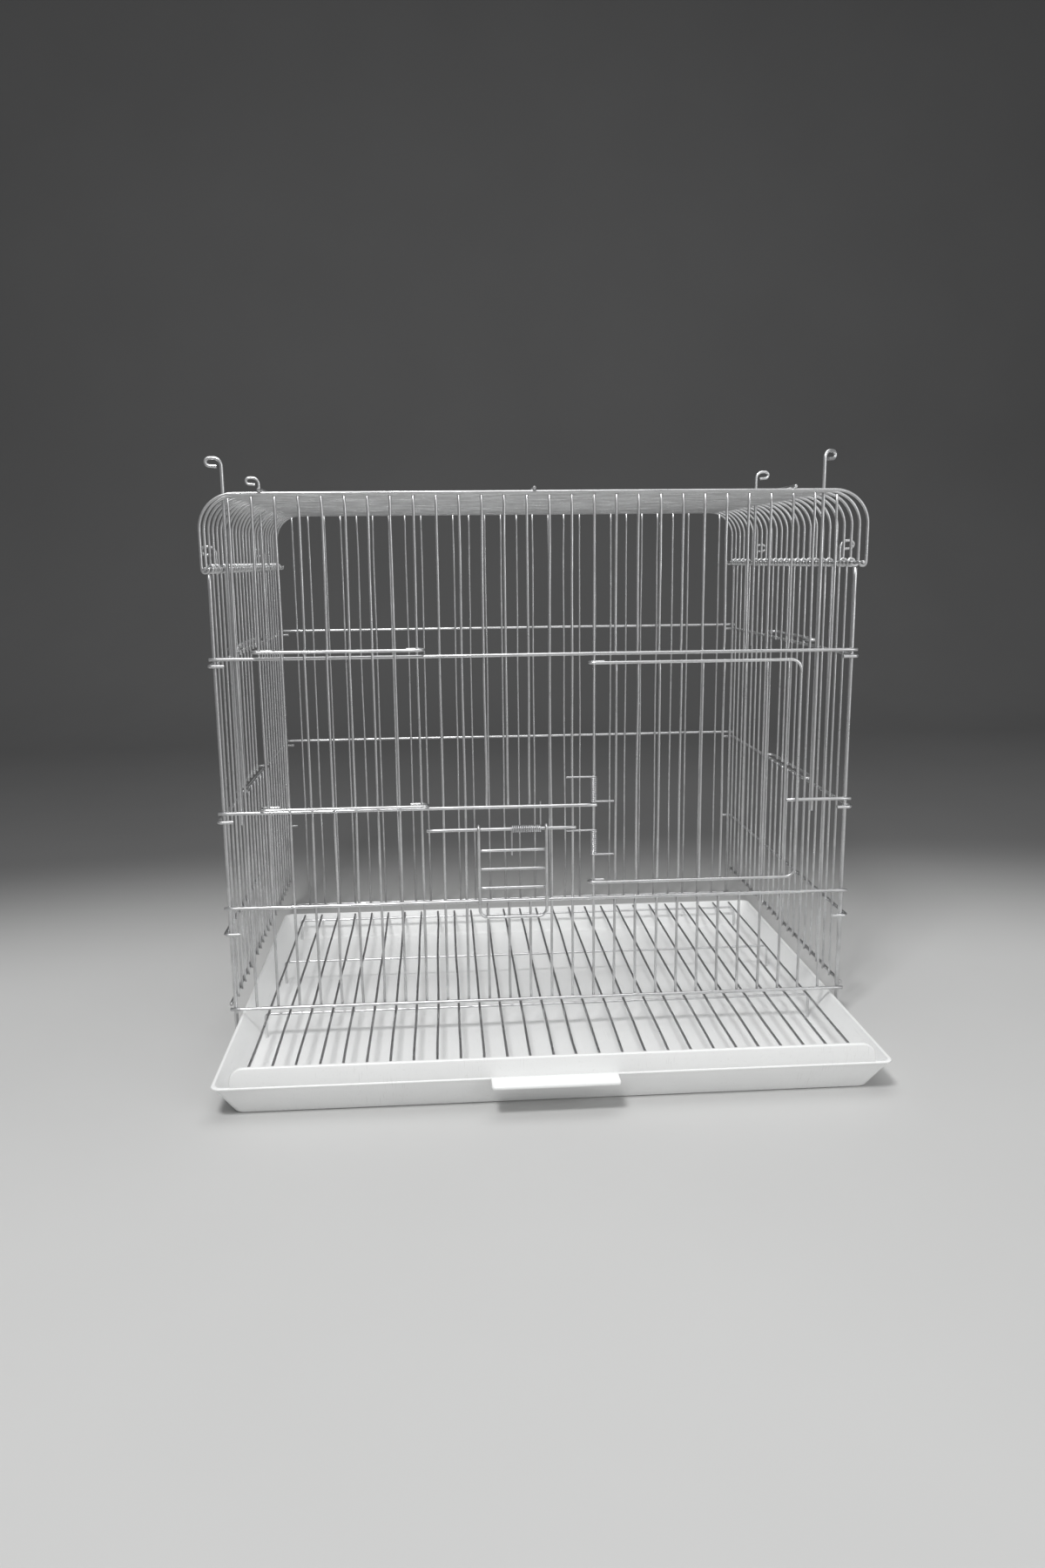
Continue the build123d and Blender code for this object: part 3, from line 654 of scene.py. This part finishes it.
# ---- tray ----------------------------------------------------------------------------------
TRAY_LENGTH = 472 * MM
TRAY_FLANGE = 1 * MM
TRAY_FLARE = 14 * MM
TRAY_WALL = 2.2 * MM
TRAY_CORNER = 8 * MM
FLAT_MARGIN = 40 * MM       # the wall's section runs this far in over the flat floor
LIP_RISE = 16.5 * MM
LIP_WIDTH = 538 * MM
LIP_THICK = 4 * MM
LIP_CORNER = 12 * MM
LIP_INSET = 1 * MM
HANDLE_WIDTH = 106 * MM
HANDLE_THICK = 3.5 * MM
HANDLE_X = -3 * MM
HANDLE_CORNER = 3 * MM
CORNER_STEPS = 10


def rounded_rectangle(half_x, half_y, corner, centre, z):
    """Corner arcs of a rounded rectangle, anticlockwise, at one height."""
    points = []
    for quarter, (sx, sy) in enumerate(((1, 1), (-1, 1), (-1, -1), (1, -1))):
        middle = Vector((centre.x + sx * (half_x - corner), centre.y + sy * (half_y - corner), z))
        for k in range(CORNER_STEPS + 1):
            angle = math.radians(90 * (quarter + k / CORNER_STEPS))
            points.append(middle + Vector((corner * math.cos(angle), corner * math.sin(angle), 0)))
    return points


def quarter_profile(centre, radius, start, sweep, steps=4):
    """(inset, height) points on an arc of the wall's section."""
    made = []
    for k in range(steps + 1):
        angle = math.radians(start + sweep * k / steps)
        made.append((centre[0] + radius * math.cos(angle), centre[1] + radius * math.sin(angle)))
    return made


def tray_shell(shape):
    """Loft the wall's section round the tray: outside, rim, inside and floor, closed at both ends."""
    low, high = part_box("tray")
    rim_z = high.z - LIP_RISE
    half_x = (high.x - low.x) / 2
    half_y = TRAY_LENGTH / 2
    centre = Vector(((low.x + high.x) / 2, high.y - half_y, 0))
    foot = TRAY_FLANGE + TRAY_FLARE
    lean = TRAY_FLARE / rim_z
    lean_angle = math.degrees(math.atan(lean))
    sole_r = 3.0 * MM
    fillet_r = 0.7 * MM
    lead_r = 1.2 * MM
    hollow_r = 5.0 * MM
    edge_r = TRAY_WALL / 2
    under_z = rim_z - TRAY_WALL
    floor_z = low.z + TRAY_WALL
    profile = [(foot + FLAT_MARGIN, low.z)]
    profile += quarter_profile((foot + sole_r, low.z + sole_r), sole_r, 270, lean_angle - 90)
    web = TRAY_FLANGE + lean * TRAY_WALL - fillet_r
    profile += quarter_profile((web, under_z - fillet_r), fillet_r, 0, 90, 3)
    profile += quarter_profile((edge_r, rim_z - edge_r), edge_r, 270, -180, 6)
    inner = TRAY_FLANGE + TRAY_WALL
    profile += quarter_profile((inner - lead_r, rim_z - lead_r), lead_r, 90, lean_angle - 90, 4)
    floor_inset = inner + lean * (rim_z - floor_z)
    hollow_inset = floor_inset + hollow_r * math.tan(math.radians(90 - lean_angle) / 2)
    hollow = (hollow_inset, floor_z + hollow_r)
    profile += quarter_profile(hollow, hollow_r, 180 + lean_angle, 90 - lean_angle, 6)
    profile.append((floor_inset + FLAT_MARGIN, floor_z))
    rings = []
    for inset, z in profile:
        ring = rounded_rectangle(half_x - inset, half_y - inset, TRAY_CORNER, centre, z)
        rings.append([shape.verts.new(p) for p in ring])
    count = len(rings[0])
    for ring, following in zip(rings, rings[1:]):
        for k in range(count):
            n = (k + 1) % count
            shape.faces.new((ring[k], ring[n], following[n], following[k]))
    shape.faces.new(list(reversed(rings[0])))
    shape.faces.new(rings[-1])


def solid_from_outline(shape, outline, depth):
    """Prism from a closed outline of points pushed along depth."""
    near = [shape.verts.new(p) for p in outline]
    far = [shape.verts.new(p + depth) for p in outline]
    count = len(near)
    for k in range(count):
        n = (k + 1) % count
        shape.faces.new((near[k], near[n], far[n], far[k]))
    shape.faces.new(list(reversed(near)))
    shape.faces.new(far)


def moulded_piece(name, outline, depth, edge):
    """A slab of tray plastic with soft edges."""
    shape = bmesh.new()
    solid_from_outline(shape, outline, depth)
    bmesh.ops.recalc_face_normals(shape, faces=shape.faces)
    bmesh.ops.bevel(
        shape,
        geom=[e for e in shape.edges if e.calc_face_angle(0) > math.radians(40)],
        offset=edge,
        segments=4,
        profile=0.5,
        affect="EDGES",
    )
    tray_piece(name, shape)


def tray_piece(name, shape):
    mesh = bpy.data.meshes.new(name)
    shape.to_mesh(mesh)
    shape.free()
    mesh.shade_smooth()
    mesh.set_sharp_from_angle(angle=math.radians(50))
    mesh.materials.append(TRAY_PLASTIC)
    piece = bpy.data.objects.new(name, mesh)
    bpy.context.scene.collection.objects.link(piece)
    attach(piece, "tray")
    return piece


def make_tray():
    low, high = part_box("tray")
    rim_z = high.z - LIP_RISE
    rim_front = high.y - TRAY_LENGTH
    shape = bmesh.new()
    tray_shell(shape)
    bmesh.ops.recalc_face_normals(shape, faces=shape.faces)
    shell = tray_piece("tray_shell", shape)
    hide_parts("tray")

    half = LIP_WIDTH / 2
    lip_y = rim_front + LIP_INSET
    base_z = rim_z - TRAY_WALL / 2
    outline = [Vector((-half, lip_y, base_z)), Vector((half, lip_y, base_z))]
    for side, start in ((1, 0), (-1, 90)):
        middle = Vector((side * (half - LIP_CORNER), lip_y, high.z - LIP_CORNER))
        outline += arc(middle, LIP_CORNER, start, 90, 8)
    moulded_piece("tray_front_lip", outline, Vector((0, LIP_THICK, 0)), 1.2 * MM)

    left = HANDLE_X - HANDLE_WIDTH / 2
    right = HANDLE_X + HANDLE_WIDTH / 2
    handle_z = rim_z - HANDLE_THICK
    root_y = rim_front + TRAY_FLANGE
    outline = [Vector((right, root_y, handle_z)), Vector((left, root_y, handle_z))]
    for x, start in ((left + HANDLE_CORNER, 180), (right - HANDLE_CORNER, 270)):
        for k in range(7):
            angle = math.radians(start + 90 * k / 6)
            turn = Vector((math.cos(angle), math.sin(angle), 0)) * HANDLE_CORNER
            outline.append(Vector((x, low.y + HANDLE_CORNER, handle_z)) + turn)
    moulded_piece("tray_handle", outline, Vector((0, 0, HANDLE_THICK)), 1.5 * MM)


# ---- stage ---------------------------------------------------------------------------------
PALE_REACH = 0.6     # the floor is pale up to here, in metres on the oval's short side
GREY_REACH = 1.2     # and grey from here on


def make_stage():
    """A sweep in one sheet: a pale floor under and before the cage that shades to grey behind it."""
    material, tree, shader, place = new_material("studio_sweep")
    oval = tree.nodes.new("ShaderNodeMapping")
    oval.inputs["Location"].default_value = (0.0, 0.6, 0.0)
    oval.inputs["Scale"].default_value = (0.6, 1.0, 1.0)
    tree.links.new(place, oval.inputs["Vector"])
    distance = tree.nodes.new("ShaderNodeVectorMath")
    distance.operation = "LENGTH"
    tree.links.new(oval.outputs["Vector"], distance.inputs[0])
    far = ramp(tree, distance.outputs["Value"], PALE_REACH, GREY_REACH)
    tone = noise_node(tree, place, 3.0, 4.0)
    pale = mix_colours(tree, tone, (0.53, 0.53, 0.525, 1), (0.57, 0.57, 0.565, 1))
    grey = mix_colours(tree, tone, (0.13, 0.13, 0.13, 1), (0.15, 0.15, 0.15, 1))
    tree.links.new(mix_colours(tree, far, pale, grey), shader.inputs["Base Color"])
    shader.inputs["Roughness"].default_value = 0.9
    half, front, back, curve, top = 4.0, -3.0, 1.6, 0.8, 3.2
    section = [(front, 0.0), (back, 0.0)]
    for k in range(1, 13):
        angle = math.radians(90 * k / 12)
        section.append((back + curve * math.sin(angle), curve * (1 - math.cos(angle))))
    section.append((back + curve, top))
    points = [(x, y, z) for y, z in section for x in (-half, half)]
    faces = [(2 * k, 2 * k + 1, 2 * k + 3, 2 * k + 2) for k in range(len(section) - 1)]
    mesh = bpy.data.meshes.new("studio_sweep")
    mesh.from_pydata(points, [], faces)
    mesh.shade_smooth()
    mesh.materials.append(material)
    sweep = bpy.data.objects.new("studio_sweep", mesh)
    bpy.context.scene.collection.objects.link(sweep)


def area_lamp(name, place, target, size, power):
    data = bpy.data.lights.new(name, "AREA")
    data.shape = "RECTANGLE"
    data.size, data.size_y = size
    data.energy = power
    lamp = bpy.data.objects.new(name, data)
    bpy.context.scene.collection.objects.link(lamp)
    lamp.location = place
    lamp.rotation_euler = (Vector(target) - Vector(place)).to_track_quat("-Z", "Y").to_euler()


def make_light():
    world = bpy.data.worlds.new("studio")
    world.use_nodes = True
    world.node_tree.nodes["Background"].inputs["Color"].default_value = (0.80, 0.81, 0.82, 1)
    world.node_tree.nodes["Background"].inputs["Strength"].default_value = 0.30
    bpy.context.scene.world = world
    area_lamp("key", (-0.45, -1.35, 1.9), (0, -0.1, 0.1), (0.4, 0.3), 25)
    area_lamp("fill", (1.5, -1.8, 0.9), (0, 0, 0.2), (1.2, 1.6), 13)
    area_lamp("top", (0.1, -0.1, 2.0), (0, 0, 0.2), (1.8, 1.2), 14)


CAMERA_PLACE = (-0.0889, -1.2564, 0.4475)
CAMERA_YAW = 0.0698       # towards +X, in radians
CAMERA_PITCH = 0.1928     # downwards
CAMERA_ROLL = -0.0105
CAMERA_LENS = 26.27       # mm, on the 36 mm long side


def make_camera():
    data = bpy.data.cameras.new("camera")
    data.sensor_width = 36
    data.lens = CAMERA_LENS
    data.clip_start = 0.01
    camera = bpy.data.objects.new("camera", data)
    bpy.context.scene.collection.objects.link(camera)
    camera.location = CAMERA_PLACE
    forward = Vector((
        math.sin(CAMERA_YAW) * math.cos(CAMERA_PITCH),
        math.cos(CAMERA_YAW) * math.cos(CAMERA_PITCH),
        -math.sin(CAMERA_PITCH),
    ))
    level = Vector((math.cos(CAMERA_YAW), -math.sin(CAMERA_YAW), 0))
    above = level.cross(forward)
    right = math.cos(CAMERA_ROLL) * level + math.sin(CAMERA_ROLL) * above
    up = right.cross(forward)
    camera.rotation_euler = Matrix((right, up, -forward)).transposed().to_euler()
    bpy.context.scene.camera = camera


bpy.context.scene.view_settings.view_transform = "Standard"
hood_loops()
cage_wires()
cage_welds()
cad_finishes()
make_tray()
make_stage()
make_light()
make_camera()

bpy.context.view_layer.update()
